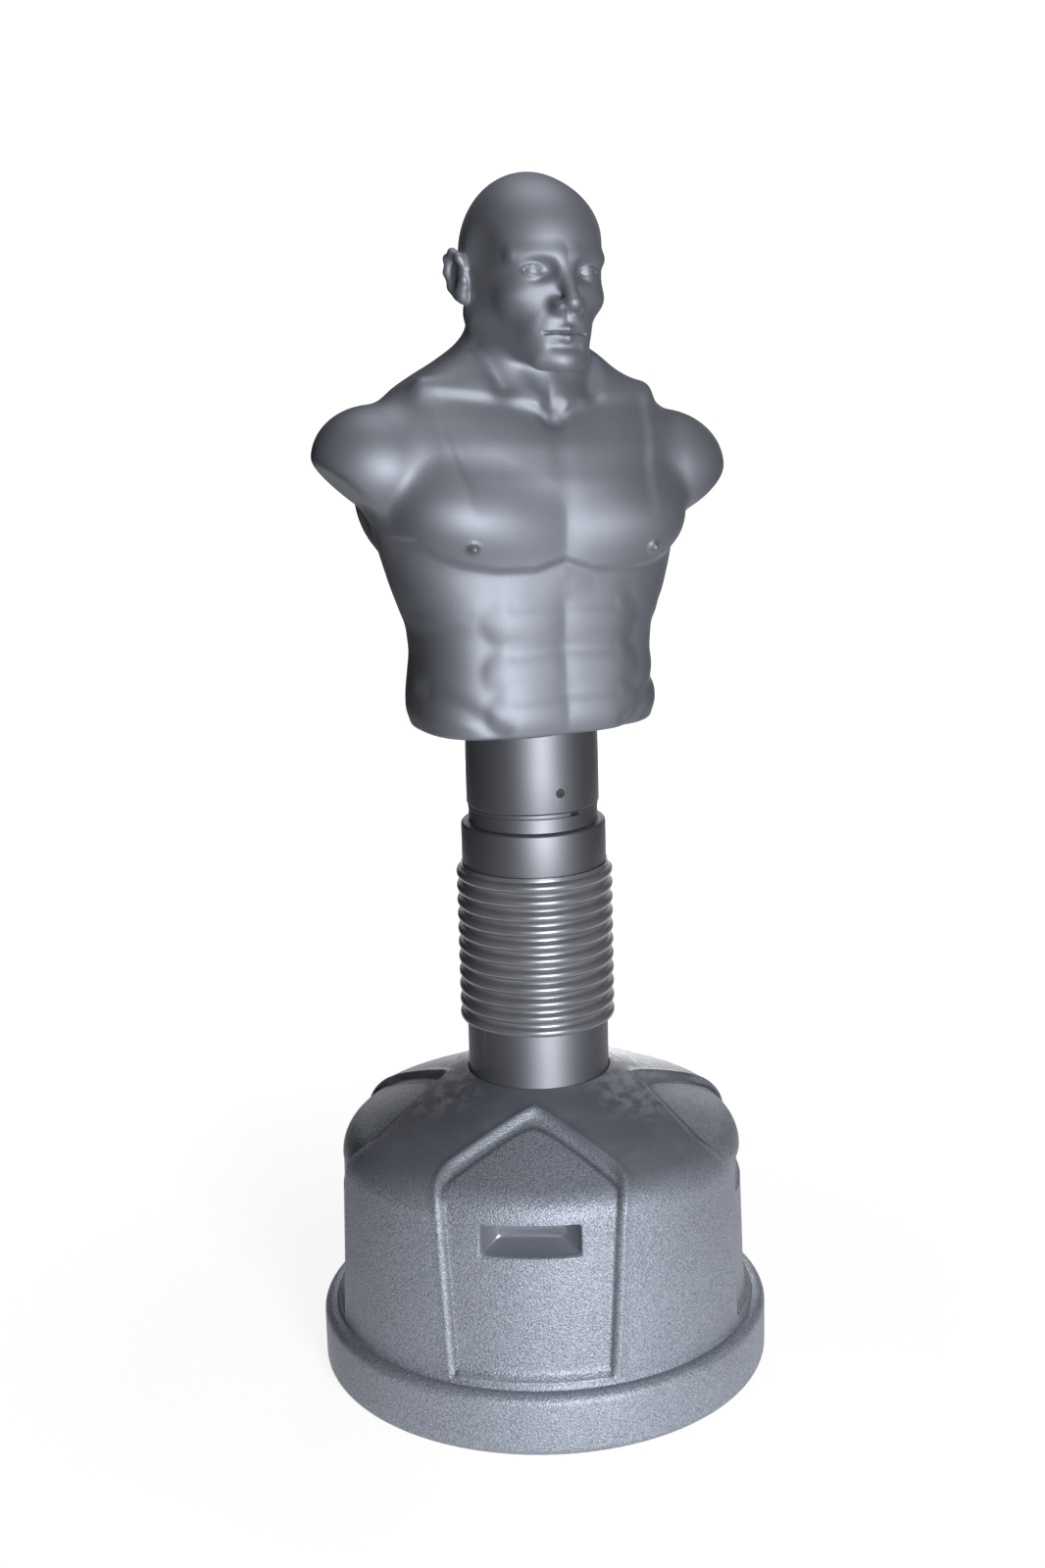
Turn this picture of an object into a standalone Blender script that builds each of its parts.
"""Free-standing boxing dummy, in metres, +Z up, origin at the middle of the underside.

A soft bust with a foam core sits on a height post. The post turns in a collar, the collar stands on a
coil spring inside a ribbed rubber sleeve, and the whole stands in a hollow moulded tank that is filled
with water or sand through a cap behind the column. The bust faces away from the tank's front panel by
BUST_TURN, as it can be left at any angle.
"""
import bmesh
import bpy
import numpy as np
from math import asin, atan, cos, hypot, pi, radians, sin, sqrt
from mathutils import Matrix, Vector

for old in list(bpy.data.objects):
    bpy.data.objects.remove(old, do_unlink=True)

# Clearance between pieces that touch or slide, and all round between those that turn in each other
GAP = 0.0003
TURN_GAP = 0.0008

# Tank: foot, drum and domed top
TANK_UNDERSIDE = 0.0015
FOOT_RADIUS = 0.2795
TANK_HOLLOW_RADIUS = FOOT_RADIUS - 0.0895
TANK_HOLLOW_DEPTH = 0.0085
FOOT_HEIGHT = 0.079
FOOT_EDGE = 0.012
FOOT_LEDGE = 0.016
DRUM_LOW_RADIUS = FOOT_RADIUS - 0.0182
DRUM_TOP_RADIUS = FOOT_RADIUS - 0.0250
SHOULDER_RADIUS = 0.045
DOME_SLOPE = 0.44
DOME_TOP = 0.382
TANK_WALL = 0.006
TANK_FLOOR = 0.020
WELL_DEPTH = 0.232
WELL_WALL = 0.005

# Tank: one recessed panel, shaped like a gable, on each of the four sides
PANEL_COUNT = 4
PANEL_DEPTH = 0.007
PANEL_BORDER = 0.0145
PANEL_HALF_WIDTH_LOW = 0.101
PANEL_HALF_WIDTH_TOP = 0.113
PANEL_LOW_GAP = 0.004
PANEL_APEX_RADIUS = 0.112
PANEL_ROOF_SLOPE = 1.25
PANEL_ROUNDING = 0.10

# Tank: hand-hold in each panel
HOLD_HEIGHT = 0.258
HOLD_OUTER = (0.118, 0.040)
HOLD_INNER = (0.080, 0.017)
HOLD_DEPTH = 0.025
HOLD_INNER_LIFT = 0.004

# Tank: filler mouth behind the column, with its screw cap
FILLER_Y = FOOT_RADIUS - 0.1195
FILLER_BOSS_RADIUS = 0.0315
FILLER_BOSS_TOP = 0.3555
FILLER_SPOT_FACE = 0.0335
FILLER_NECK_RADIUS = 0.0215
FILLER_NECK_HEIGHT = 0.0135
FILLER_BORE_RADIUS = 0.017
CAP_SKIRT_GAP = 0.0004
CAP_RADIUS = 0.0278
CAP_TOP = 0.005
CAP_FLUTES = 14
CAP_FLUTE_DEPTH = 0.0013
GASKET_THICKNESS = 0.002

# Suction cups under the foot
CUP_COUNT = 6
CUP_CIRCLE = FOOT_RADIUS - 0.048
CUP_RADIUS = 0.027
CUP_POCKET_CLEARANCE = 0.004
CUP_HEIGHT = 0.0112
CUP_NECK_RADIUS = 0.0085
CUP_STEM_RADIUS = 0.0048
CUP_STEM = 0.0055

# Lower tube and the plate that carries the spring
LOWER_TUBE_RADIUS = 0.0865
LOWER_TUBE_WALL = 0.0043
LOWER_TUBE_TOP = 0.500
PLATE_THICKNESS = 0.008
LOWER_PLATE_DEPTH = 0.0273
LOWER_PLATE_BOTTOM = LOWER_TUBE_TOP - LOWER_PLATE_DEPTH
PLATE_SCREW_RADIUS = 0.003
PLATE_SCREW_LENGTH = 0.016
PLATE_SCREW_COUNT = 4

# Spring and the ribbed sleeve round it
SPRING_WIRE_RADIUS = 0.006
SPRING_MEAN_RADIUS = 0.052
SPRING_TURNS = 6
SPRING_END_TURNS = 0.5
SPRING_TURN_POINTS = 14
SLEEVE_LOW_CUFF = 0.047
SLEEVE_LENGTH = 0.192
SLEEVE_BOTTOM = LOWER_TUBE_TOP - SLEEVE_LOW_CUFF
SLEEVE_TOP = SLEEVE_BOTTOM + SLEEVE_LENGTH
SLEEVE_VALLEY = 0.0893
RIB_RADIUS = 0.0951
RIB_COUNT = 11
RIB_PITCH = 0.018
RIB_FOOT = 0.0115
RIB_CREST = 0.0045

# Collar on top of the spring
COLLAR_RADIUS = 0.0875
COLLAR_SKIRT = 0.045
COLLAR_BOTTOM = SLEEVE_TOP - COLLAR_SKIRT
COLLAR_SHOULDER = SLEEVE_TOP + 0.057
COLLAR_SHOULDER_EDGE = 0.004
COLLAR_NECK_RADIUS = 0.078
COLLAR_TOP = COLLAR_SHOULDER + 0.0115
COLLAR_SKIRT_WALL = 0.003
UPPER_PLATE_BOTTOM = COLLAR_BOTTOM + 0.0267
WASHER_THICKNESS = 0.005
WASHER_BORE = 0.060

# Lean axes through the spring: sideways below its middle, back and forth above
SPRING_MIDDLE = (LOWER_TUBE_TOP + COLLAR_BOTTOM) / 2
SIDE_LEAN_HEIGHT = SPRING_MIDDLE - 0.020
FRONT_LEAN_HEIGHT = SPRING_MIDDLE + 0.020

# Height post that turns in the collar, and the split ring that keeps it down
POST_RADIUS = 0.0745
POST_WALL = 0.004
POST_TOP = 1.075
POST_FLANGE = 0.0058
STOP_RING_RADIUS = 0.0785
STOP_RING_GROOVE = 0.0007
STOP_RING_OPENING = 0.012
STOP_RING_ANGLE = 15.0

# Outer tube that slides on the post and carries the bust
BUST_TURN = 27.5
OUTER_TUBE_RADIUS = 0.0800
OUTER_TUBE_TOP_RADIUS = 0.0790
OUTER_TUBE_BOTTOM = COLLAR_TOP + 0.0055
OUTER_TUBE_TOP = 1.100
OUTER_TUBE_EDGE = 0.0025
END_CAP_THICKNESS = 0.005
END_CAP_PLUG = 0.014
HEIGHT_TRAVEL = 0.200

# Clamp screw in the outer tube, and the slot it runs in
CLAMP_ABOVE_EDGE = 0.025
CLAMP_HEIGHT = OUTER_TUBE_BOTTOM + CLAMP_ABOVE_EDGE
CLAMP_RADIUS = 0.0052
CLAMP_RECESS = 0.0010
CLAMP_SOCKET_RADIUS = 0.0026
CLAMP_SOCKET_DEPTH = 0.002
CLAMP_TIP_RADIUS = 0.0038
CLAMP_SLOT_WIDTH = 0.0088

# Bust: skin, core and the plate that it stands on
SKIN_WALL = 0.014
SKIN_FLOOR = 0.010
BUST_BOTTOM = OUTER_TUBE_BOTTOM + 0.100
CROWN = BUST_BOTTOM + 0.627
CORE_CROWN = CROWN - 0.022
SEAT_THICKNESS = 0.006
SEAT_HALF_WIDTH = 0.126
SEAT_HALF_DEPTH = 0.0855
SEAT_SCREW_POSITIONS = ((0.103, 0.030), (0.103, -0.030), (-0.103, 0.030), (-0.103, -0.030))
SEAT_SCREW_RADIUS = 0.003
SEAT_SCREW_HEAD_RADIUS = 0.007
SEAT_SCREW_HEAD = 0.0025

# Grid step of the net over the bust, and the share of its faces that is kept
NET_STEP = 0.005
NET_SHARE = 0.06

# Farthest that the foam core reaches from the middle, short of the arm stumps
CORE_REACH = 0.165

# Least foam round the outer tube
TUBE_FOAM = 0.0035

# Segments round a turned piece
ROUND = 28
SMALL_ROUND = 12


def material(name, colour, roughness, metallic=0.0):
    """A Principled material in one colour."""
    made = bpy.data.materials.new(name)
    made.use_nodes = True
    shader = made.node_tree.nodes["Principled BSDF"]
    shader.inputs["Base Color"].default_value = (*colour, 1.0)
    shader.inputs["Roughness"].default_value = roughness
    shader.inputs["Metallic"].default_value = metallic
    return made


MOULDED = material("moulded_tank", (0.16, 0.17, 0.19), 0.45, 0.3)
SKIN = material("soft_skin", (0.13, 0.14, 0.15), 0.45, 0.2)
TUBE = material("grey_tube", (0.15, 0.16, 0.18), 0.35, 0.3)
SLEEVE = material("sleeve_rubber", (0.14, 0.15, 0.17), 0.28, 0.2)
BLACK = material("black_rubber", (0.03, 0.03, 0.03), 0.7)
STEEL = material("plated_steel", (0.55, 0.56, 0.58), 0.35, 1.0)
FOAM = material("foam", (0.62, 0.58, 0.42), 0.9)
CAP_PLASTIC = material("cap_plastic", (0.05, 0.05, 0.055), 0.5)


def new_object(name, bm, finish, smooth=35.0):
    """Turn a bmesh into a named object with outward faces."""
    bmesh.ops.recalc_face_normals(bm, faces=bm.faces)
    mesh = bpy.data.meshes.new(name)
    bm.to_mesh(mesh)
    bm.free()
    mesh.materials.append(finish)
    mesh.shade_smooth()
    mesh.set_sharp_from_angle(angle=radians(smooth))
    made = bpy.data.objects.new(name, mesh)
    bpy.context.scene.collection.objects.link(made)
    return made


def rounded(corners):
    """Points of an outline whose corners (radius, height, fillet) are rounded by arcs."""
    points = []
    for i, (r, z, fillet) in enumerate(corners):
        if fillet == 0.0:
            points.append((r, z))
            continue
        here = Vector((r, z))
        back = (Vector(corners[i - 1][:2]) - here).normalized()
        ahead = (Vector(corners[(i + 1) % len(corners)][:2]) - here).normalized()
        half = back.angle(ahead) / 2
        centre = here + (back + ahead).normalized() * (fillet / sin(half))
        start = here + back * (fillet / sin(half) * cos(half)) - centre
        end = here + ahead * (fillet / sin(half) * cos(half)) - centre
        sweep = start.angle(end)
        steps = 5 if fillet > 0.03 else 3
        for k in range(steps + 1):
            t = k / steps
            arm = (start * sin((1 - t) * sweep) + end * sin(t * sweep)) / sin(sweep)
            points.append(tuple(centre + arm))
    return points


def turned_mesh(outline, segments=ROUND, closed=False, centre=(0.0, 0.0)):
    """Spin an outline of (radius, height) points about a vertical axis.

    A closed outline gives a ring; an open one starts and ends on the axis.
    """
    bm = bmesh.new()
    ring = [bm.verts.new((r, 0.0, z)) for r, z in outline]
    edges = [bm.edges.new(pair) for pair in zip(ring[:-1], ring[1:])]
    if closed:
        edges.append(bm.edges.new((ring[-1], ring[0])))
    bmesh.ops.spin(bm, geom=ring + edges, cent=(0, 0, 0), axis=(0, 0, 1), angle=2 * pi, steps=segments,
                   use_merge=True, use_duplicate=False)
    bmesh.ops.remove_doubles(bm, verts=bm.verts, dist=1e-6)
    bmesh.ops.translate(bm, verts=bm.verts, vec=(centre[0], centre[1], 0.0))
    return bm


def turned(name, outline, finish, segments=ROUND, closed=False, centre=(0.0, 0.0)):
    """A turned piece as a named object."""
    return new_object(name, turned_mesh(outline, segments, closed, centre), finish)


def copies(name, bm, finish, places):
    """Numbered objects that share one mesh, each at a location with a turn about the column."""
    made = [new_object(f"{name}_1", bm, finish)]
    for i in range(1, len(places)):
        made.append(bpy.data.objects.new(f"{name}_{i + 1}", made[0].data))
        bpy.context.scene.collection.objects.link(made[i])
    for piece, (location, turn) in zip(made, places):
        piece.location = location
        piece.rotation_euler.z = turn
    return made


def spread(bm, places):
    """Repeat what a bmesh holds at each location and turn, in place of the first."""
    first = list(bm.verts) + list(bm.edges) + list(bm.faces)
    for location, turn in places:
        copy = bmesh.ops.duplicate(bm, geom=first)
        moved = [v for v in copy["geom"] if isinstance(v, bmesh.types.BMVert)]
        bmesh.ops.transform(bm, verts=moved, matrix=Matrix.Translation(location) @ Matrix.Rotation(turn, 4, "Z"))
    bmesh.ops.delete(bm, geom=[v for v in first if isinstance(v, bmesh.types.BMVert)], context="VERTS")
    return bm


def rod_mesh(bm, start, end, radius, segments=SMALL_ROUND):
    """Add a closed cylinder between two points to a bmesh."""
    start, end = Vector(start), Vector(end)
    axis = end - start
    turn = axis.to_track_quat("Z", "Y").to_matrix().to_4x4()
    place = Matrix.Translation((start + end) / 2) @ turn
    bmesh.ops.create_cone(bm, cap_ends=True, segments=segments, radius1=radius, radius2=radius,
                          depth=axis.length, matrix=place)


def box_mesh(bm, low, high):
    """Add a closed box between two corners to a bmesh."""
    low, high = Vector(low), Vector(high)
    place = Matrix.Translation((low + high) / 2) @ Matrix.Diagonal((*(high - low), 1.0))
    bmesh.ops.create_cube(bm, size=1.0, matrix=place)


def cutter(name, bm):
    """A hidden object that only cuts or joins."""
    made = new_object(name, bm, STEEL)
    made.hide_render = True
    made.display_type = "WIRE"
    return made


def boolean(piece, tool, operation="DIFFERENCE"):
    """Cut a tool out of a piece, or join it on."""
    step = piece.modifiers.new(tool.name, "BOOLEAN")
    step.operation = operation
    step.solver = "EXACT"
    step.object = tool
    return piece


def around(count, first=0.0, radius=0.0, height=0.0):
    """Evenly spaced places about the column: a location and a turn, the first one in front."""
    turns = [first + 2 * pi * i / count for i in range(count)]
    return [((radius * sin(t), -radius * cos(t), height), t) for t in turns]


def empty(name, height, parent=None, parent_height=0.0):
    """An empty on the column's axis, which carries the pieces above a joint."""
    made = bpy.data.objects.new(name, None)
    made.location = (0.0, 0.0, height)
    bpy.context.scene.collection.objects.link(made)
    if parent:
        carried(made, parent, parent_height)
    return made


def carried(piece, parent, parent_height):
    """Parent a piece that was modelled at its place above the floor."""
    piece.parent = parent
    piece.matrix_parent_inverse = Matrix.Translation((0.0, 0.0, -parent_height))
    return piece


side_lean = empty("side_lean_axis", SIDE_LEAN_HEIGHT)
front_lean = empty("front_lean_axis", FRONT_LEAN_HEIGHT, side_lean, SIDE_LEAN_HEIGHT)
bust_axis = empty("bust_axis", 0.0, front_lean, FRONT_LEAN_HEIGHT)
bust_axis.rotation_euler.z = radians(BUST_TURN)


def dome_height(radius):
    """Height of the tank's conical top at a radius."""
    return DOME_TOP - DOME_SLOPE * (radius - LOWER_TUBE_RADIUS)


# Tank shell: rings follow the turned outline, columns follow the panels' borders

def tank_outline():
    """Outer outline of the tank from the underside to the dome, as (radius, height)."""
    hollow_top = TANK_UNDERSIDE + TANK_HOLLOW_DEPTH
    ledge = FOOT_RADIUS - FOOT_LEDGE
    corners = [
        (0.0, hollow_top, 0.0),
        (TANK_HOLLOW_RADIUS - TANK_HOLLOW_DEPTH, hollow_top, 0.0),
        (TANK_HOLLOW_RADIUS, TANK_UNDERSIDE, 0.0),
        (FOOT_RADIUS, TANK_UNDERSIDE, FOOT_EDGE),
        (FOOT_RADIUS, FOOT_HEIGHT, FOOT_EDGE),
        (ledge, FOOT_HEIGHT, 0.0),
        (DRUM_LOW_RADIUS, FOOT_HEIGHT + PANEL_LOW_GAP, 0.0),
        (DRUM_LOW_RADIUS, FOOT_HEIGHT + PANEL_LOW_GAP + PANEL_BORDER, 0.0),
        (drum_radius(HOLD_HEIGHT - 0.07), HOLD_HEIGHT - 0.07, 0.0),
        (DRUM_TOP_RADIUS, dome_height(DRUM_TOP_RADIUS), SHOULDER_RADIUS),
    ]
    points = rounded(corners + [(LOWER_TUBE_RADIUS, DOME_TOP, 0.0)])[:-1]
    inner_apex = PANEL_APEX_RADIUS + PANEL_BORDER * sqrt(1 + 1 / PANEL_ROOF_SLOPE ** 2)
    for radius in (0.190, 0.160, inner_apex, (inner_apex + PANEL_APEX_RADIUS) / 2, PANEL_APEX_RADIUS,
                   LOWER_TUBE_RADIUS - 0.010):
        points.append((radius, dome_height(radius)))
    return points + [(0.0, dome_height(LOWER_TUBE_RADIUS - 0.010))]


def drum_radius(height):
    """Radius of the drafted drum wall at a height."""
    low = FOOT_HEIGHT + PANEL_LOW_GAP + PANEL_BORDER
    top = dome_height(DRUM_TOP_RADIUS)
    return DRUM_LOW_RADIUS + (DRUM_TOP_RADIUS - DRUM_LOW_RADIUS) * (height - low) / (top - low)


def soft_min(a, b, k):
    """The smaller of two values, blended over k."""
    h = np.clip(0.5 + 0.5 * (b - a) / k, 0.0, 1.0)
    return b * (1 - h) + a * h - k * h * (1 - h)


def panel_edge(radius, height, inset):
    """Angle from a panel's middle to its border at a point of the outline."""
    top = dome_height(DRUM_TOP_RADIUS)
    share = min(max((height - FOOT_HEIGHT) / (top - FOOT_HEIGHT), 0.0), 1.0)
    half_width = PANEL_HALF_WIDTH_LOW + (PANEL_HALF_WIDTH_TOP - PANEL_HALF_WIDTH_LOW) * share - inset
    apex = PANEL_APEX_RADIUS + inset * sqrt(1 + 1 / PANEL_ROOF_SLOPE ** 2)
    side = asin(min(half_width / max(radius, 1e-4), 1.0))
    lift = PANEL_ROOF_SLOPE * apex / (max(radius, 1e-4) * sqrt(1 + PANEL_ROOF_SLOPE ** 2))
    roof = atan(PANEL_ROOF_SLOPE) - asin(lift) if radius > apex else 0.0
    roof = sqrt(roof * (roof + PANEL_ROUNDING)) if roof > 0.0 else 0.0
    return max(min(float(soft_min(side, roof, PANEL_ROUNDING)), roof, side), 0.0) if roof > 0.0 else 0.0


def tank_shell():
    """The tank's outer form as one closed mesh, with its four panels sunk in."""
    outline = tank_outline()
    low_edge = FOOT_HEIGHT + PANEL_LOW_GAP
    bm = bmesh.new()
    rings = []
    for i, (r, z) in enumerate(outline):
        if r == 0.0:
            rings.append([bm.verts.new((0.0, 0.0, z))])
            continue
        along = Vector(outline[min(i + 1, len(outline) - 1)]) - Vector(outline[i - 1])
        normal = Vector((along.y, -along.x)).normalized()
        inner = panel_edge(r, max(z, low_edge), PANEL_BORDER)
        outer = panel_edge(r, max(z, low_edge), 0.0)
        if r < FOOT_RADIUS and z < low_edge:
            outer = panel_edge(DRUM_LOW_RADIUS, low_edge, 0.0)
            inner = panel_edge(DRUM_LOW_RADIUS, low_edge, PANEL_BORDER)
        rise = min(max((z - low_edge) / PANEL_BORDER, 0.0), 1.0)
        corner = pi / PANEL_COUNT
        half = [(0.0, 1.0), (inner / 2, 1.0), (inner, 1.0), ((inner + outer) / 2, 0.5), (outer, 0.0)]
        half += [(outer + (corner - outer) * k / 3, 0.0) for k in (1, 2)]
        sector = [(-a, d) for a, d in reversed(half[1:])] + half + [(corner, 0.0)]
        if outer == 0.0:
            sector = [(a, 0.0) for a, d in sector]
        ring = []
        for side in range(PANEL_COUNT):
            for angle, depth in sector:
                a = angle + 2 * pi * side / PANEL_COUNT
                sunk = PANEL_DEPTH * min(depth, rise)
                radius = r - normal.x * sunk
                ring.append(bm.verts.new((radius * sin(a), -radius * cos(a), z - normal.y * sunk)))
        rings.append(ring)
    for low, high in zip(rings[:-1], rings[1:]):
        count = max(len(low), len(high))
        for k in range(count):
            n = (k + 1) % count
            corners = [low[k % len(low)], low[n % len(low)], high[n % len(high)], high[k % len(high)]]
            bm.faces.new(list(dict.fromkeys(corners)))
    bmesh.ops.remove_doubles(bm, verts=bm.verts, dist=2e-5)
    return bm


def cavity_outline():
    """The tank's inner outline, clear of the panels, from floor to dome."""
    inset = PANEL_DEPTH + TANK_WALL
    drop = inset * sqrt(1 + DOME_SLOPE ** 2)
    radius = DRUM_TOP_RADIUS - inset
    foot = FOOT_RADIUS - TANK_WALL
    corners = [
        (0.0, TANK_UNDERSIDE + TANK_FLOOR, 0.0),
        (foot, TANK_UNDERSIDE + TANK_FLOOR, FOOT_EDGE),
        (foot, FOOT_HEIGHT - TANK_WALL, 0.0),
        (DRUM_LOW_RADIUS - inset, FOOT_HEIGHT - TANK_WALL, 0.0),
        (radius, dome_height(radius) - drop, SHOULDER_RADIUS - inset),
        (0.0, dome_height(0.0) - drop, 0.0),
    ]
    return rounded(corners)


def hold_pocket(bm, grow):
    """Add one hand-hold to a bmesh: a straight mouth through the curved panel, then a tapered pocket."""
    face = drum_radius(HOLD_HEIGHT) - PANEL_DEPTH
    corner = sqrt(face ** 2 - (HOLD_OUTER[0] / 2) ** 2)
    sections = [
        (face + PANEL_DEPTH, HOLD_OUTER, 0.0),
        (corner, HOLD_OUTER, 0.0),
        (face - HOLD_DEPTH - grow, HOLD_INNER, HOLD_INNER_LIFT),
    ]
    loops = []
    for y, (width, height), lift in sections:
        w, h, z = width / 2 + grow, height / 2 + grow, HOLD_HEIGHT + lift
        loops.append([bm.verts.new(p) for p in ((-w, -y, z - h), (w, -y, z - h), (w, -y, z + h), (-w, -y, z + h))])
    bm.faces.new(loops[0])
    bm.faces.new(list(reversed(loops[-1])))
    for front, back in zip(loops[:-1], loops[1:]):
        for k in range(4):
            n = (k + 1) % 4
            bm.faces.new((front[k], back[k], back[n], front[n]))


base_tank = new_object("base_tank", tank_shell(), MOULDED, 18.0)

neck_top = FILLER_BOSS_TOP + FILLER_NECK_HEIGHT
boss = bmesh.new()
rod_mesh(boss, (0, FILLER_Y, FILLER_BOSS_TOP - 0.025), (0, FILLER_Y, DOME_TOP), FILLER_BOSS_RADIUS, 20)
boolean(base_tank, cutter("filler_boss", boss), "UNION")
spot_face = turned_mesh([
    (0.0, neck_top), (FILLER_NECK_RADIUS, neck_top), (FILLER_NECK_RADIUS, FILLER_BOSS_TOP),
    (FILLER_SPOT_FACE, FILLER_BOSS_TOP), (FILLER_SPOT_FACE, DOME_TOP + 0.02), (0.0, DOME_TOP + 0.02)],
    segments=20, centre=(0.0, FILLER_Y))
boolean(base_tank, cutter("filler_spot_face", spot_face))

cavity = cutter("tank_cavity", turned_mesh(cavity_outline()))
pocket_walls = bmesh.new()
hold_pocket(pocket_walls, TANK_WALL - 0.001)
boolean(cavity, cutter("hold_walls", spread(pocket_walls, around(PANEL_COUNT))))
well_bottom = DOME_TOP - WELL_DEPTH
well_wall = bmesh.new()
rod_mesh(well_wall, (0, 0, well_bottom - WELL_WALL), (0, 0, DOME_TOP), LOWER_TUBE_RADIUS + GAP + WELL_WALL, ROUND)
boolean(cavity, cutter("well_wall", well_wall))
boolean(base_tank, cavity)

well = bmesh.new()
rod_mesh(well, (0, 0, well_bottom), (0, 0, DOME_TOP + 0.02), LOWER_TUBE_RADIUS + GAP, ROUND)
boolean(base_tank, cutter("column_well", well))

pockets = bmesh.new()
hold_pocket(pockets, 0.0)
boolean(base_tank, cutter("hold_pockets", spread(pockets, around(PANEL_COUNT))))

mouth = bmesh.new()
rod_mesh(mouth, (0, FILLER_Y, dome_height(FILLER_Y) - 0.05), (0, FILLER_Y, neck_top + 0.01), FILLER_BORE_RADIUS, 20)
boolean(base_tank, cutter("filler_mouth", mouth))

cup_places = around(CUP_COUNT, pi / CUP_COUNT, CUP_CIRCLE)
pocket_radius = CUP_RADIUS + CUP_POCKET_CLEARANCE
cup_pocket = turned_mesh([
    (0.0, -0.01), (pocket_radius, -0.01), (pocket_radius, CUP_HEIGHT + GAP), (CUP_STEM_RADIUS + GAP, CUP_HEIGHT + GAP),
    (CUP_STEM_RADIUS + GAP, CUP_HEIGHT + CUP_STEM + GAP), (0.0, CUP_HEIGHT + CUP_STEM + GAP)], SMALL_ROUND)
boolean(base_tank, cutter("cup_pockets", spread(cup_pocket, cup_places)))

# Suction cups: a thin bell on a neck, its stem pressed into the foot

cup = turned_mesh([
    (0.0, 0.0052), (0.014, 0.0038), (CUP_RADIUS - 0.003, 0.0), (CUP_RADIUS, 0.0), (CUP_RADIUS, 0.0012),
    (0.018, 0.0058), (CUP_NECK_RADIUS, 0.0078), (CUP_NECK_RADIUS, CUP_HEIGHT),
    (CUP_STEM_RADIUS, CUP_HEIGHT), (CUP_STEM_RADIUS, CUP_HEIGHT + CUP_STEM), (0.0, CUP_HEIGHT + CUP_STEM)], SMALL_ROUND)
copies("suction_cup", cup, BLACK, cup_places)

# Filler cap and its gasket

cap_seat = neck_top + GAP + GASKET_THICKNESS
new_object("filler_gasket", turned_mesh(
    [(FILLER_BORE_RADIUS, neck_top + GAP), (FILLER_NECK_RADIUS - GAP, neck_top + GAP),
     (FILLER_NECK_RADIUS - GAP, cap_seat), (FILLER_BORE_RADIUS, cap_seat)],
    segments=20, closed=True, centre=(0.0, FILLER_Y)), BLACK)


def filler_cap_mesh():
    """Cap with a fluted rim: every second column is drawn in."""
    inner = FILLER_NECK_RADIUS + CAP_SKIRT_GAP
    top = cap_seat + GAP + CAP_TOP
    outline = [(0.0, cap_seat + GAP), (inner, cap_seat + GAP), (inner, FILLER_BOSS_TOP + GAP),
               (CAP_RADIUS, FILLER_BOSS_TOP + GAP), (CAP_RADIUS, top - 0.002), (CAP_RADIUS - 0.002, top), (0.0, top)]
    bm = turned_mesh(outline, 2 * CAP_FLUTES)
    for v in bm.verts:
        r = hypot(v.co.x, v.co.y)
        if r > CAP_RADIUS - 0.0005:
            k = round(np.arctan2(v.co.y, v.co.x) / (pi / CAP_FLUTES))
            v.co.xy *= (1 - CAP_FLUTE_DEPTH / CAP_RADIUS) if k % 2 else 1.0
    return bm


filler_cap = new_object("filler_cap", filler_cap_mesh(), CAP_PLASTIC)
filler_cap.location.y = FILLER_Y

# Lower tube in the tank's well

lower_bore = LOWER_TUBE_RADIUS - LOWER_TUBE_WALL
lower_tube = turned("lower_tube", [
    (lower_bore, well_bottom + GAP), (LOWER_TUBE_RADIUS, well_bottom + GAP),
    (LOWER_TUBE_RADIUS, LOWER_TUBE_TOP), (lower_bore, LOWER_TUBE_TOP)], TUBE, closed=True)


def plate_screws(name, height):
    """Radial screws that hold a spring plate in its tube, flush with the tube."""
    screw = bmesh.new()
    rod_mesh(screw, (0, PLATE_SCREW_LENGTH - LOWER_TUBE_RADIUS, 0), (0, GAP - LOWER_TUBE_RADIUS, 0), PLATE_SCREW_RADIUS, 8)
    return copies(name, screw, STEEL, around(PLATE_SCREW_COUNT, pi / 4, height=height))


def plate_screw_holes(name, height):
    """The holes those screws pass through."""
    hole = bmesh.new()
    rod_mesh(hole, (0, PLATE_SCREW_LENGTH + GAP - LOWER_TUBE_RADIUS, 0), (0, -LOWER_TUBE_RADIUS - 0.01, 0),
             PLATE_SCREW_RADIUS + GAP, 8)
    return cutter(name, spread(hole, around(PLATE_SCREW_COUNT, pi / 4, height=height)))


lower_plate_top = LOWER_PLATE_BOTTOM + PLATE_THICKNESS
lower_plate = turned("lower_spring_plate", [
    (0.0, LOWER_PLATE_BOTTOM), (lower_bore - GAP, LOWER_PLATE_BOTTOM), (lower_bore - GAP, lower_plate_top),
    (0.0, lower_plate_top)], STEEL)
lower_holes = plate_screw_holes("lower_screw_holes", LOWER_PLATE_BOTTOM + PLATE_THICKNESS / 2)
boolean(lower_tube, lower_holes)
boolean(lower_plate, lower_holes)
plate_screws("lower_plate_screw", LOWER_PLATE_BOTTOM + PLATE_THICKNESS / 2)

# Coil spring: flat end turns, even pitch between


def coil_points():
    """Centre line of the spring's wire."""
    low = lower_plate_top + GAP + SPRING_WIRE_RADIUS
    high = UPPER_PLATE_BOTTOM - GAP - SPRING_WIRE_RADIUS
    points = []
    for k in range(SPRING_TURNS * SPRING_TURN_POINTS + 1):
        turn = k / SPRING_TURN_POINTS
        share = (turn - SPRING_END_TURNS) / (SPRING_TURNS - 2 * SPRING_END_TURNS)
        z = low + (high - low) * min(max(share, 0.0), 1.0)
        points.append((SPRING_MEAN_RADIUS * cos(2 * pi * turn), SPRING_MEAN_RADIUS * sin(2 * pi * turn), z))
    return points


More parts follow.
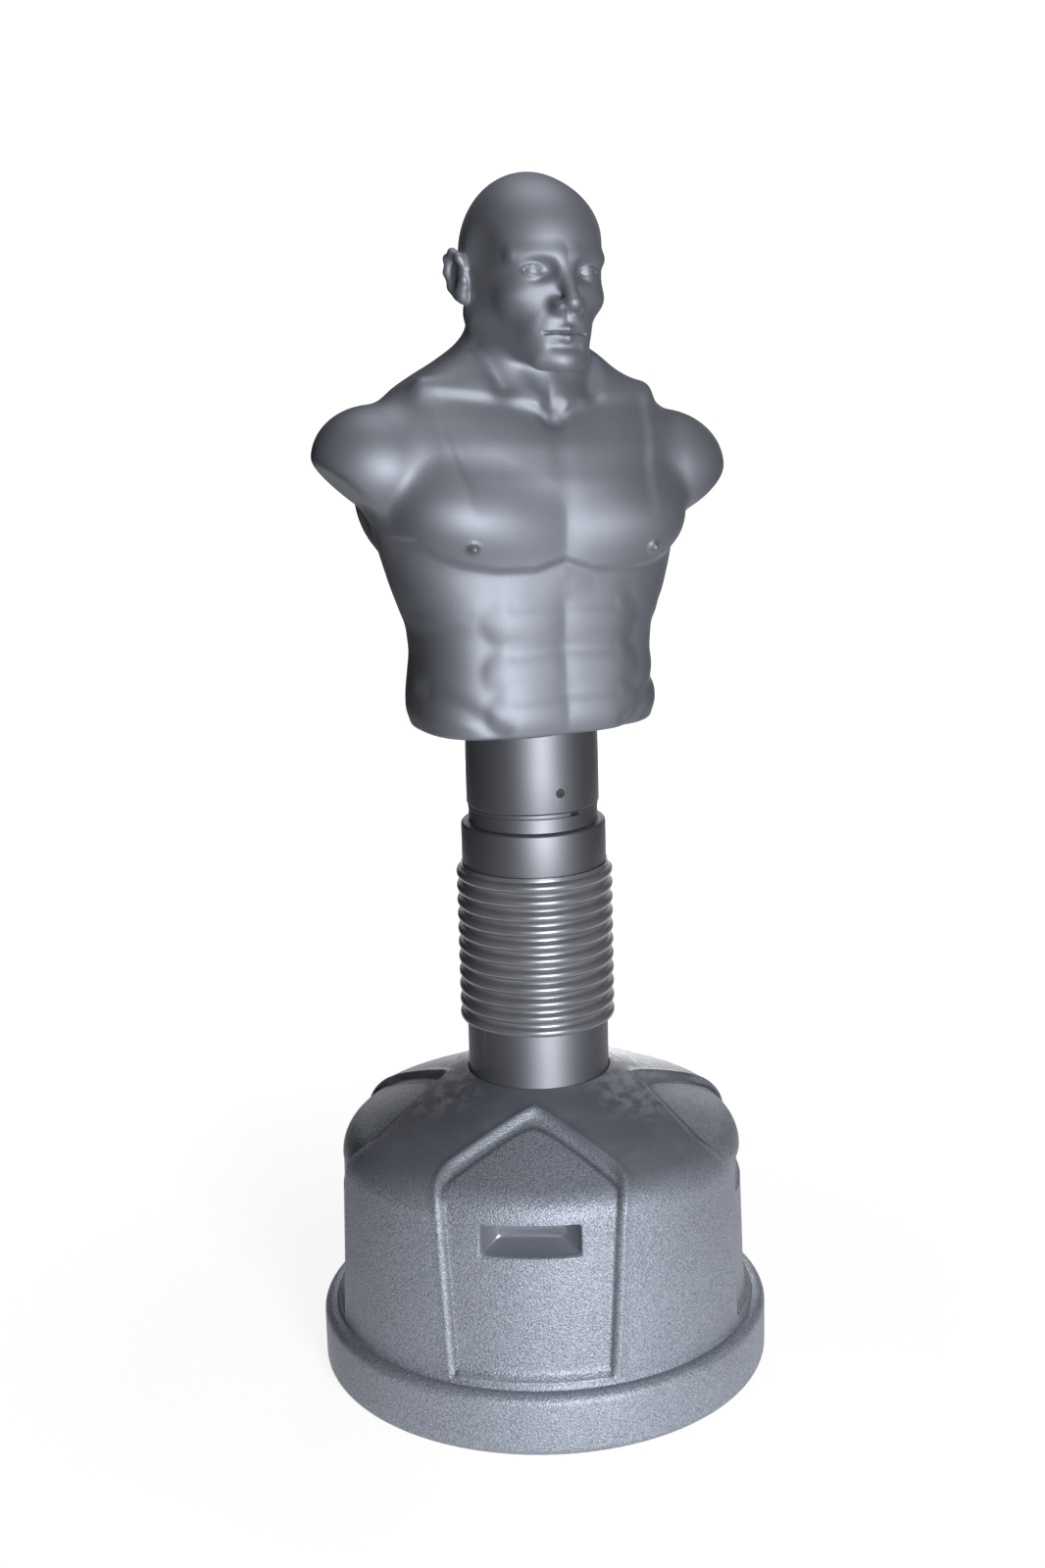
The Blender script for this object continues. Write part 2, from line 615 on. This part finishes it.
coil = coil_points()
turn_gap = min((Vector(a) - Vector(b)).length for i, a in enumerate(coil)
               for b in coil[i + SPRING_TURN_POINTS // 2:]) - 2 * SPRING_WIRE_RADIUS
print("least gap between the spring's turns, mm:", round(1000 * turn_gap, 2))
wire = bpy.data.curves.new("coil_spring", "CURVE")
wire.dimensions = "3D"
wire.bevel_depth = SPRING_WIRE_RADIUS
wire.bevel_resolution = 1
wire.use_fill_caps = True
line = wire.splines.new("POLY")
line.points.add(len(coil) - 1)
for point, place in zip(line.points, coil):
    point.co = (*place, 1.0)
wire.materials.append(STEEL)
coil_spring = bpy.data.objects.new("coil_spring", wire)
bpy.context.scene.collection.objects.link(coil_spring)
carried(coil_spring, side_lean, SIDE_LEAN_HEIGHT)

# Ribbed sleeve over the spring, pulled over the ends of both tubes


def sleeve_outline():
    """Closed outline of the sleeve: plain cuffs, and a round-topped rib at each pitch."""
    middle = (SLEEVE_BOTTOM + SLEEVE_TOP) / 2 - 0.0038
    bore = LOWER_TUBE_RADIUS + GAP
    points = [(bore, SLEEVE_BOTTOM), (SLEEVE_VALLEY, SLEEVE_BOTTOM)]
    for k in range(RIB_COUNT):
        z = middle + (k - (RIB_COUNT - 1) / 2) * RIB_PITCH
        points += [(SLEEVE_VALLEY, z - RIB_FOOT / 2), (RIB_RADIUS, z - RIB_CREST / 2),
                   (RIB_RADIUS, z + RIB_CREST / 2), (SLEEVE_VALLEY, z + RIB_FOOT / 2)]
    return points + [(SLEEVE_VALLEY, SLEEVE_TOP), (bore, SLEEVE_TOP)]


ribbed_sleeve = turned("ribbed_sleeve", sleeve_outline(), SLEEVE, closed=True)
carried(ribbed_sleeve, side_lean, SIDE_LEAN_HEIGHT)

# Collar, with the post's foot, a slip washer and the upper spring plate inside its skirt

skirt_bore = LOWER_TUBE_RADIUS - COLLAR_SKIRT_WALL
upper_plate_top = UPPER_PLATE_BOTTOM + PLATE_THICKNESS
washer_bottom = upper_plate_top + GAP
washer_top = washer_bottom + WASHER_THICKNESS
flange_bottom = washer_top + GAP
flange_top = flange_bottom + POST_FLANGE
collar_ledge = flange_top + GAP
collar_bore = POST_RADIUS + TURN_GAP
upper_collar = turned("upper_collar", rounded([
    (skirt_bore, COLLAR_BOTTOM, 0.0), (LOWER_TUBE_RADIUS, COLLAR_BOTTOM, 0.0),
    (LOWER_TUBE_RADIUS, SLEEVE_TOP + GAP, 0.0), (COLLAR_RADIUS, SLEEVE_TOP + GAP, 0.0),
    (COLLAR_RADIUS, COLLAR_SHOULDER, COLLAR_SHOULDER_EDGE), (COLLAR_NECK_RADIUS, COLLAR_SHOULDER, 0.0),
    (COLLAR_NECK_RADIUS, COLLAR_TOP, 0.0), (collar_bore, COLLAR_TOP, 0.0),
    (collar_bore, collar_ledge, 0.0), (skirt_bore, collar_ledge, 0.0)]), TUBE, closed=True)
upper_plate = turned("upper_spring_plate", [
    (0.0, UPPER_PLATE_BOTTOM), (skirt_bore - GAP, UPPER_PLATE_BOTTOM), (skirt_bore - GAP, upper_plate_top),
    (0.0, upper_plate_top)], STEEL)
upper_holes = plate_screw_holes("upper_screw_holes", UPPER_PLATE_BOTTOM + PLATE_THICKNESS / 2)
boolean(upper_collar, upper_holes)
boolean(upper_plate, upper_holes)
collar_screws = plate_screws("collar_screw", UPPER_PLATE_BOTTOM + PLATE_THICKNESS / 2)
slip_washer = turned("slip_washer", [
    (WASHER_BORE, washer_bottom), (skirt_bore - GAP, washer_bottom), (skirt_bore - GAP, washer_top),
    (WASHER_BORE, washer_top)], BLACK, closed=True)
for piece in (upper_collar, upper_plate, slip_washer, upper_holes, *collar_screws):
    carried(piece, front_lean, FRONT_LEAN_HEIGHT)

# Height post: foot flange below the collar's ledge, groove for the split ring, slot for the clamp screw

ring_bottom = COLLAR_TOP + GAP
ring_top = OUTER_TUBE_BOTTOM - GAP
groove_radius = POST_RADIUS - STOP_RING_GROOVE
post_bore = POST_RADIUS - POST_WALL
height_post = turned("height_post", [
    (post_bore, flange_bottom), (skirt_bore - TURN_GAP, flange_bottom), (skirt_bore - TURN_GAP, flange_top),
    (POST_RADIUS, flange_top), (POST_RADIUS, ring_bottom - GAP), (groove_radius, ring_bottom - GAP),
    (groove_radius, ring_top + GAP), (POST_RADIUS, ring_top + GAP), (POST_RADIUS, POST_TOP),
    (post_bore, POST_TOP)], TUBE, closed=True)
slot = bmesh.new()
box_mesh(slot, (-CLAMP_SLOT_WIDTH / 2, -POST_RADIUS - 0.01, CLAMP_HEIGHT - CLAMP_SLOT_WIDTH / 2),
         (CLAMP_SLOT_WIDTH / 2, -post_bore + 0.01, CLAMP_HEIGHT + HEIGHT_TRAVEL + CLAMP_SLOT_WIDTH / 2))
boolean(height_post, carried(cutter("clamp_slot", slot), bust_axis, 0.0))

stop_ring = turned("split_stop_ring", [
    (groove_radius + GAP, ring_bottom), (STOP_RING_RADIUS, ring_bottom), (STOP_RING_RADIUS, ring_top),
    (groove_radius + GAP, ring_top)], TUBE, closed=True)
opening = bmesh.new()
box_mesh(opening, (-STOP_RING_OPENING / 2, -STOP_RING_RADIUS - 0.01, ring_bottom - 0.01),
         (STOP_RING_OPENING / 2, -groove_radius + 0.01, ring_top + 0.01))
bmesh.ops.rotate(opening, verts=opening.verts, matrix=Matrix.Rotation(radians(STOP_RING_ANGLE), 3, "Z"))
boolean(stop_ring, carried(cutter("ring_opening", opening), bust_axis, 0.0))

# Outer tube, closed at the top, with the clamp screw in its lower end

outer_bore = POST_RADIUS + 2 * GAP
outer_tube = turned("outer_tube", rounded([
    (outer_bore, OUTER_TUBE_BOTTOM, 0.0), (OUTER_TUBE_RADIUS, OUTER_TUBE_BOTTOM, OUTER_TUBE_EDGE),
    (OUTER_TUBE_RADIUS, CLAMP_HEIGHT + CLAMP_ABOVE_EDGE, 0.0), (OUTER_TUBE_TOP_RADIUS, BUST_BOTTOM, 0.0),
    (OUTER_TUBE_TOP_RADIUS, OUTER_TUBE_TOP, 0.0), (outer_bore, OUTER_TUBE_TOP, 0.0)]), TUBE, closed=True)
clamp_hole = bmesh.new()
rod_mesh(clamp_hole, (0, -OUTER_TUBE_RADIUS - 0.01, CLAMP_HEIGHT), (0, -outer_bore + 0.01, CLAMP_HEIGHT),
         CLAMP_RADIUS + GAP)
boolean(outer_tube, carried(cutter("clamp_hole", clamp_hole), bust_axis, 0.0))
end_cap = turned("tube_end_cap", [
    (0.0, OUTER_TUBE_TOP + GAP), (outer_bore - END_CAP_THICKNESS, OUTER_TUBE_TOP + GAP),
    (outer_bore - END_CAP_THICKNESS, OUTER_TUBE_TOP - END_CAP_PLUG), (outer_bore - GAP, OUTER_TUBE_TOP - END_CAP_PLUG),
    (outer_bore - GAP, OUTER_TUBE_TOP + GAP), (OUTER_TUBE_TOP_RADIUS, OUTER_TUBE_TOP + GAP),
    (OUTER_TUBE_TOP_RADIUS, OUTER_TUBE_TOP + GAP + END_CAP_THICKNESS), (0.0, OUTER_TUBE_TOP + GAP + END_CAP_THICKNESS)],
    CAP_PLASTIC)

screw_face = OUTER_TUBE_RADIUS - CLAMP_RECESS
screw_end = outer_bore + GAP
clamp = bmesh.new()
rod_mesh(clamp, (0, -screw_face, CLAMP_HEIGHT), (0, -screw_end, CLAMP_HEIGHT), CLAMP_RADIUS)
clamp_screw = new_object("clamp_screw", clamp, STEEL)
socket = bmesh.new()
rod_mesh(socket, (0, -screw_face - 0.01, CLAMP_HEIGHT), (0, -screw_face + CLAMP_SOCKET_DEPTH, CLAMP_HEIGHT),
         CLAMP_SOCKET_RADIUS, 6)
boolean(clamp_screw, carried(cutter("clamp_socket", socket), bust_axis, 0.0))
tip = bmesh.new()
rod_mesh(tip, (0, -screw_end + GAP, CLAMP_HEIGHT), (0, -post_bore, CLAMP_HEIGHT), CLAMP_TIP_RADIUS)
clamp_tip = new_object("clamp_tip", tip, BLACK)

# Bust: its form is a blend of rounded sections, ellipsoids and tapered rods, in the bust's own frame (front is -Y)

# Trunk and neck sections: height, half width, depth in front, depth behind, middle's place front to back
TRUNK = np.array([
    (0.800, 0.140, 0.100, 0.094, 0.000),
    (0.822, 0.147, 0.106, 0.100, 0.000),
    (0.838, 0.153, 0.110, 0.103, 0.000),
    (0.860, 0.153, 0.109, 0.102, 0.000),
    (0.905, 0.147, 0.104, 0.101, 0.000),
    (0.935, 0.150, 0.104, 0.102, 0.000),
    (0.980, 0.168, 0.107, 0.104, 0.000),
    (1.025, 0.180, 0.110, 0.113, 0.000),
    (1.060, 0.188, 0.114, 0.118, 0.000),
    (1.110, 0.188, 0.112, 0.120, 0.000),
    (1.150, 0.184, 0.101, 0.114, 0.000),
    (1.178, 0.178, 0.086, 0.102, 0.000),
    (1.200, 0.160, 0.072, 0.088, 0.000),
    (1.218, 0.124, 0.066, 0.078, -0.002),
    (1.236, 0.090, 0.061, 0.070, -0.006),
    (1.255, 0.073, 0.059, 0.066, -0.010),
    (1.290, 0.067, 0.058, 0.064, -0.014),
    (1.340, 0.066, 0.058, 0.062, -0.018),
])
TRUNK_POWER = 2.25
NECK_TOP = 1.340
HEAD_BOTTOM = 1.185
HEM_ROUNDING = 0.005
BLEND = 0.016
FACE_SHARE = 0.90

# Ellipsoids of one half, mirrored: centre, radii, lean across in degrees, blend
MUSCLES = [
    ((0.080, -0.052, 1.066), (0.104, 0.074, 0.062), 8.0, 0.014),
    ((0.115, 0.070, 1.085), (0.070, 0.050, 0.090), 0.0, 0.016),
    ((0.085, 0.098, 1.120), (0.055, 0.020, 0.060), -18.0, 0.014),
]
SHOULDER = ((0.178, 0.002, 1.126), (0.077, 0.068, 0.064))
FACE = [
    ((0.0, -0.060, 1.374), (0.062, 0.061, 0.056), 0.0, 0.014),
    ((0.0, -0.060, 1.300), (0.058, 0.061, 0.072), 0.0, 0.016),
    ((0.0, -0.111, 1.229), (0.020, 0.015, 0.014), 0.0, 0.014),
    ((0.0, -0.104, 1.263), (0.031, 0.023, 0.027), 0.0, 0.012),
    ((0.046, -0.090, 1.303), (0.020, 0.018, 0.013), -12.0, 0.014),
]
EAR = [
    ((0.0800, -0.013, 1.3250), (0.0100, 0.0185, 0.0270), 6.0, 0.005),
    ((0.0790, -0.0170, 1.3025), (0.0055, 0.0080, 0.0085), 0.0, 0.005),
]

# Rods of one half, mirrored: start, end, start radius, end radius, blend
NECK_CORDS = [
    ((0.040, 0.036, 1.290), (0.125, 0.012, 1.196), 0.024, 0.012, 0.040),
    ((0.060, -0.008, 1.290), (0.014, -0.067, 1.196), 0.011, 0.007, 0.016),
    ((0.012, -0.074, 1.190), (0.125, -0.042, 1.204), 0.006, 0.006, 0.014),
]
JAW = ((0.055, -0.024, 1.272), (0.022, -0.100, 1.230), 0.016, 0.013, 0.018)
BROW = ((0.010, -0.118, 1.348), (0.050, -0.099, 1.346), 0.0085, 0.0065, 0.012)
EYE = ((0.0315, -0.1015, 1.3305), (0.0315, -0.1016, 1.3305), 0.0130, 0.0130, 0.003)
NOSE = ((0.0, -0.1175, 1.342), (0.0, -0.1395, 1.298), 0.0070, 0.0090, 0.009)
LIPS = [
    ((0.0, -0.1240, 1.2660), (0.0215, -0.1130, 1.2618), 0.0052, 0.0022, 0.004),
    ((0.0, -0.1225, 1.2555), (0.0185, -0.1135, 1.2580), 0.0062, 0.0030, 0.004),
]

# Lines sunk into the front and the back, seen from the front (across, up), with their depth and width
FRONT_LINES = [
    (((0.0, 1.165), (0.0, 1.030)), 0.0015, 0.012),
    (((0.0, 0.990), (0.0, 0.850)), 0.0014, 0.010),
    (((0.078, 0.985), (0.077, 0.930), (0.079, 0.885), (0.068, 0.845)), 0.0022, 0.015),
    (((0.142, 0.872), (0.1145, 0.854), (0.0795, 0.826)), 0.0045, 0.011),
    (((0.0, 0.972), (0.062, 0.969)), 0.0012, 0.009),
    (((0.0, 0.919), (0.062, 0.916)), 0.0012, 0.009),
    (((0.0, 0.868), (0.062, 0.865)), 0.0012, 0.009),
]
BACK_LINES = [
    (((0.0, 1.190), (0.0, 1.040)), 0.0070, 0.016),
    (((0.0, 1.000), (0.0, 0.860)), 0.0030, 0.014),
    (((0.045, 1.140), (0.040, 1.040), (0.060, 0.960)), 0.0030, 0.022),
]


def smooth_table(z, column):
    """A trunk value at height z, rounded off between the rows."""
    fine = np.linspace(TRUNK[0, 0] - 0.05, TRUNK[-1, 0] + 0.05, 700)
    values = np.interp(fine, TRUNK[:, 0], TRUNK[:, column])
    window = np.hanning(33)
    padded = np.pad(values, 16, mode="edge")
    return np.interp(z, fine, np.convolve(padded, window / window.sum(), mode="valid"))


def ellipsoid(p, centre, radii, lean=0.0):
    """Distance to an ellipsoid, near enough close to its surface."""
    q = p - np.array(centre)
    c, s = cos(radians(lean)), sin(radians(lean))
    q = np.stack([c * q[:, 0] + s * q[:, 2], q[:, 1], c * q[:, 2] - s * q[:, 0]], -1)
    k0 = np.linalg.norm(q / np.array(radii), axis=-1)
    k1 = np.linalg.norm(q / np.array(radii) ** 2, axis=-1)
    return k0 * (k0 - 1.0) / np.maximum(k1, 1e-6)


def tapered_rod(p, a, b, start_radius, end_radius):
    """Distance to a rod with round ends of two radii."""
    a, b = np.array(a), np.array(b)
    t = np.clip(((p - a) @ (b - a)) / ((b - a) @ (b - a)), 0.0, 1.0)
    return np.linalg.norm(p - a - t[:, None] * (b - a), axis=-1) - (start_radius + (end_radius - start_radius) * t)


def sunk_line(p, points, depth, width):
    """Depth of a soft groove along a line seen from the front."""
    nearest = np.full(len(p), 1.0)
    flat = p[:, [0, 2]]
    for a, b in zip(points[:-1], points[1:]):
        a, b = np.array(a), np.array(b)
        t = np.clip(((flat - a) @ (b - a)) / ((b - a) @ (b - a)), 0.0, 1.0)
        nearest = np.minimum(nearest, np.linalg.norm(flat - a - t[:, None] * (b - a), axis=-1))
    return depth * np.exp(-(nearest / width) ** 2)


def trunk_distance(p):
    """Distance to the trunk, neck and arm stumps; p has the left half folded onto the right."""
    x, z = p[:, 0], p[:, 2]
    a = smooth_table(z, 1)
    y = p[:, 1] - smooth_table(z, 4)
    b = np.where(y < 0.0, smooth_table(z, 2), smooth_table(z, 3))
    ratio = ((x / a) ** TRUNK_POWER + (np.abs(y) / b) ** TRUNK_POWER) ** (1 / TRUNK_POWER)
    body = np.hypot(x, y) * (1.0 - 1.0 / np.maximum(ratio, 1e-3))
    body = -soft_min(-body, NECK_TOP - z, BLEND)
    stump_end = (x - 0.2335) * 0.657 - (z - 1.103) * 0.754
    stump = -soft_min(-ellipsoid(p, *SHOULDER), -stump_end, 0.014)
    body = soft_min(body, stump, 0.018)
    for centre, radii, lean, blend in MUSCLES:
        body = soft_min(body, ellipsoid(p, centre, radii, lean), blend)
    for *rod, blend in NECK_CORDS:
        body = soft_min(body, tapered_rod(p, *rod), blend)
    body = -soft_min(-body, ellipsoid(p, (0.0, -0.094, 1.189), (0.013, 0.013, 0.014)), 0.012)
    front = sum(sunk_line(p, *line) for line in FRONT_LINES)
    inner = (np.interp(z, (1.102, 1.159, 1.206), (0.111, 0.124, 0.128)) - x) / 0.006
    reach = np.clip((1.212 - z) / 0.012, 0.0, 1.0) * np.clip((z - 1.070) / 0.050, 0.0, 1.0)
    front += 0.0055 * np.clip(0.5 + 0.5 * inner, 0.0, 1.0) * np.exp(-np.maximum(inner, 0.0) / 6.5) * reach
    back = sum(sunk_line(p, *line) for line in BACK_LINES)
    return body + front * np.clip(-p[:, 1] / 0.03, 0.0, 1.0) + back * np.clip(p[:, 1] / 0.03, 0.0, 1.0)


def head_distance(p):
    """Distance to the head; p is folded as above."""
    head = ellipsoid(p, (0.0, -0.028, CROWN - 0.093), (0.0775, 0.098, 0.093))
    face = np.stack([p[:, 0], p[:, 1], CROWN - (CROWN - p[:, 2]) / FACE_SHARE], -1)
    for centre, radii, lean, blend in FACE:
        head = soft_min(head, ellipsoid(face, centre, radii, lean), blend)
    head = soft_min(head, tapered_rod(face, *JAW[:4]), JAW[4])
    head = -soft_min(-head, ellipsoid(face, (0.086, -0.070, 1.352), (0.016, 0.030, 0.026)), 0.020)
    head = soft_min(head, tapered_rod(face, *BROW[:4]), BROW[4])
    head = -soft_min(-head, ellipsoid(face, (0.032, -0.122, 1.3315), (0.018, 0.0135, 0.0105)), 0.010)
    head = soft_min(head, tapered_rod(face, *EYE[:4]), EYE[4])
    wing = ellipsoid(face, (0.012, -0.129, 1.2905), (0.0068, 0.010, 0.007))
    head = soft_min(head, soft_min(tapered_rod(face, *NOSE[:4]), wing, 0.005), NOSE[4])
    for *rod, blend in LIPS:
        head = soft_min(head, tapered_rod(face, *rod), blend)
    for centre, radii, lean, blend in EAR:
        head = soft_min(head, ellipsoid(p, centre, radii, lean), blend)
    return -soft_min(-head, ellipsoid(p, (0.0905, -0.015, 1.324), (0.0065, 0.009, 0.014)), 0.004)


def uncut_distance(points):
    """Distance from points to the bust's form above its hem, negative inside; both halves are alike."""
    p = np.array(points, dtype=float).reshape(-1, 3)
    p[:, 0] = np.abs(p[:, 0])
    made = np.full(len(p), 1.0)
    low, high = p[:, 2] < NECK_TOP + 0.03, p[:, 2] > HEAD_BOTTOM
    made[low] = trunk_distance(p[low])
    only, both = high & ~low, high & low
    made[only] = head_distance(p[only])
    made[both] = soft_min(made[both], head_distance(p[both]), 0.014)
    return made.reshape(np.shape(points)[:-1])


def bust_distance(points):
    """Distance to the whole bust, cut off flat at the hem."""
    return -soft_min(-uncut_distance(points), points[..., 2] - BUST_BOTTOM, HEM_ROUNDING)


def onto_form(points, rounds):
    """Points moved onto the form's surface along its slope."""
    for _ in range(rounds):
        slope = np.empty_like(points)
        for axis in range(3):
            off = np.zeros(3)
            off[axis] = 0.0002
            slope[:, axis] = (bust_distance(points + off) - bust_distance(points - off)) / 0.0004
        size = np.maximum((slope ** 2).sum(-1), 0.05)
        points = points - slope * np.clip(bust_distance(points) / size, -0.003, 0.003)[:, None]
    return points


def distance_grid(step):
    """Axes and distances of an even grid over the whole bust, worked out for one half and mirrored."""
    across = step * (np.arange(int(0.268 / step)) + 0.5)
    deep = np.arange(-0.168, 0.140, step)
    up = np.arange(BUST_BOTTOM - 1.5 * step, CROWN + 2 * step, step)
    half = np.array([bust_distance(np.stack(np.meshgrid([x], deep, up, indexing="ij"), -1))[0] for x in across])
    return (np.concatenate([-across[::-1], across]), deep, up), np.concatenate([half[::-1], half])


def form_mesh(step):
    """Net over the bust's form: a point in each grid cell that the surface crosses, drawn onto the form."""
    axes, field = distance_grid(step)
    inside = field < 0.0
    nx, ny, nz = field.shape
    corners = [(i, j, k) for i in (0, 1) for j in (0, 1) for k in (0, 1)]
    filled = sum(inside[i:nx - 1 + i, j:ny - 1 + j, k:nz - 1 + k].astype(int) for i, j, k in corners)
    cells = np.argwhere((filled > 0) & (filled < 8))
    number = np.full((nx - 1, ny - 1, nz - 1), -1)
    number[tuple(cells.T)] = np.arange(len(cells))
    total, hits = np.zeros((len(cells), 3)), np.zeros(len(cells))
    for first in corners:
        for axis in (i for i in range(3) if first[i] == 0):
            second = tuple(1 if i == axis else first[i] for i in range(3))
            a = field[tuple((cells + first).T)]
            b = field[tuple((cells + second).T)]
            cross = (a < 0.0) != (b < 0.0)
            share = np.where(cross, a / np.where(cross, a - b, 1.0), 0.0)
            total += (np.array(first) + share[:, None] * np.subtract(second, first)) * cross[:, None]
            hits += cross
    points = np.array([axis[0] for axis in axes]) + step * (cells + total / hits[:, None])
    bm = bmesh.new()
    verts = [bm.verts.new(p) for p in onto_form(points, 3)]
    for axis in range(3):
        u, v = (axis + 1) % 3, (axis + 2) % 3
        change = np.argwhere(np.diff(inside.astype(int), axis=axis) != 0)
        for edge in change:
            ring = []
            for du, dv in ((-1, -1), (0, -1), (0, 0), (-1, 0)):
                cell = list(edge)
                cell[u] += du
                cell[v] += dv
                ring.append(verts[number[tuple(cell)]])
            bm.faces.new(ring)
    return bm


def ring_middle(z):
    """Where a ring's rays start, front to back: under the crown in the head, on the column below."""
    return np.interp(z, (1.18, 1.26), (0.0, -0.030))


def bust_rings(heights, angles, level):
    """Points where rays from the middle of each ring leave the form, at a level inside its surface."""
    z, a = np.meshgrid(heights, angles, indexing="ij")
    out = np.stack([np.sin(a), -np.cos(a), np.zeros_like(a)], -1)
    middle = np.stack([np.zeros_like(z), ring_middle(z), z], -1)
    steps = np.linspace(CORE_REACH, 0.002, 80)
    samples = np.stack([uncut_distance(middle + out * r) for r in steps]) + level
    first = np.argmax(samples <= 0.0, axis=0)
    low = steps[first]
    high = steps[np.maximum(first - 1, 0)]
    for _ in range(14):
        half = (low + high) / 2
        inside = uncut_distance(middle + out * half[..., None]) + level <= 0.0
        low = np.where(inside, half, low)
        high = np.where(inside, high, half)
    tube_room = OUTER_TUBE_TOP_RADIUS + TUBE_FOAM + SKIN_WALL - level
    low = np.where(z < OUTER_TUBE_TOP + 0.02, np.maximum(low, tube_room), low)
    return middle + out * low[..., None]


def ring_solid(rings, crown):
    """Close a stack of rings by a flat bottom and a point at the crown."""
    bm = bmesh.new()
    loops = [[bm.verts.new(p) for p in ring] for ring in rings]
    count = len(loops[0])
    bm.faces.new(list(reversed(loops[0])))
    for low, high in zip(loops[:-1], loops[1:]):
        for k in range(count):
            n = (k + 1) % count
            bm.faces.new((low[k], low[n], high[n]))
            bm.faces.new((low[k], high[n], high[k]))
    top = bm.verts.new(crown)
    for k in range(count):
        bm.faces.new((loops[-1][k], loops[-1][(k + 1) % count], top))
    return bm


def angles_round(count, front_share):
    """Directions round the bust, closer together in front, where the form has most to show."""
    t = np.linspace(-1.0, 1.0, count, endpoint=False)
    return pi * (front_share * t + (1 - front_share) * np.sign(t) * np.abs(t) ** 3)


bust_skin = new_object("bust_skin", form_mesh(NET_STEP), SKIN, 60.0)
fewer = bust_skin.modifiers.new("fewer_faces", "DECIMATE")
fewer.ratio = NET_SHARE

core_bottom = BUST_BOTTOM + SKIN_FLOOR
core_angles = angles_round(24, 0.9)


def core_mesh(clearance):
    """The hollow in the skin, or with a clearance the foam that fills it."""
    heights = np.concatenate([np.linspace(core_bottom, 1.16, 7), (1.19, 1.22, 1.26, 1.31, 1.36), (1.40, 1.415)])
    heights[0] += clearance
    rings = bust_rings(heights, core_angles, SKIN_WALL + clearance)
    return ring_solid(rings, (0.0, ring_middle(CROWN), CORE_CROWN - clearance))


boolean(bust_skin, carried(cutter("bust_hollow", core_mesh(0.0)), bust_axis, 0.0))
passage = bmesh.new()
rod_mesh(passage, (0, 0, BUST_BOTTOM - 0.01), (0, 0, core_bottom + 0.01), OUTER_TUBE_TOP_RADIUS + GAP, ROUND)
boolean(bust_skin, carried(cutter("tube_passage", passage), bust_axis, 0.0))

# Seat plate on the outer tube, inside the bust, screwed through the skin's floor


def oval_mesh(low, high, half_width, half_depth, segments=ROUND):
    """A flat oval plate."""
    bm = bmesh.new()
    bmesh.ops.create_cone(bm, cap_ends=True, segments=segments, radius1=1.0, radius2=1.0, depth=high - low)
    bmesh.ops.scale(bm, verts=bm.verts, vec=(half_width, half_depth, 1.0))
    bmesh.ops.translate(bm, verts=bm.verts, vec=(0.0, 0.0, (low + high) / 2))
    return bm


seat_bottom = core_bottom + GAP
seat_top = seat_bottom + SEAT_THICKNESS
seat_plate = new_object("seat_plate", oval_mesh(seat_bottom, seat_top, SEAT_HALF_WIDTH, SEAT_HALF_DEPTH), STEEL)
tube_hole = bmesh.new()
rod_mesh(tube_hole, (0, 0, seat_bottom - 0.01), (0, 0, seat_top + 0.01), OUTER_TUBE_TOP_RADIUS + GAP, ROUND)
boolean(seat_plate, carried(cutter("seat_hole", tube_hole), bust_axis, 0.0))

seat_screw_places = [((x, y, BUST_BOTTOM - GAP), 0.0) for x, y in SEAT_SCREW_POSITIONS]
seat_screw = turned_mesh([
    (0.0, -SEAT_SCREW_HEAD), (SEAT_SCREW_HEAD_RADIUS, -SEAT_SCREW_HEAD), (SEAT_SCREW_HEAD_RADIUS, 0.0),
    (SEAT_SCREW_RADIUS, 0.0), (SEAT_SCREW_RADIUS, seat_top - BUST_BOTTOM), (0.0, seat_top - BUST_BOTTOM)], 8)
seat_screws = copies("seat_screw", seat_screw, STEEL, seat_screw_places)
seat_screw_holes = bmesh.new()
rod_mesh(seat_screw_holes, (0, 0, -0.01), (0, 0, seat_top - BUST_BOTTOM + 2 * GAP), SEAT_SCREW_RADIUS + GAP, 8)
spread(seat_screw_holes, seat_screw_places)
seat_holes = carried(cutter("seat_screw_holes", seat_screw_holes), bust_axis, 0.0)
boolean(bust_skin, seat_holes)
boolean(seat_plate, seat_holes)

# Foam core: fills the skin's hollow above the seat plate, bored for the outer tube

foam_core = new_object("foam_core", core_mesh(GAP), FOAM)
bore = bmesh.new()
rod_mesh(bore, (0, 0, core_bottom - 0.01), (0, 0, OUTER_TUBE_TOP + END_CAP_THICKNESS + 2 * GAP),
         OUTER_TUBE_TOP_RADIUS + GAP, ROUND)
boolean(foam_core, carried(cutter("core_bore", bore), bust_axis, 0.0))
seat_room = oval_mesh(core_bottom - 0.01, seat_top + GAP, SEAT_HALF_WIDTH + 0.03, SEAT_HALF_DEPTH + 0.03)
boolean(foam_core, carried(cutter("seat_room", seat_room), bust_axis, 0.0))

for piece in (height_post, stop_ring, outer_tube, end_cap, clamp_screw, clamp_tip, bust_skin, seat_plate, foam_core,
              *seat_screws):
    carried(piece, bust_axis, 0.0)
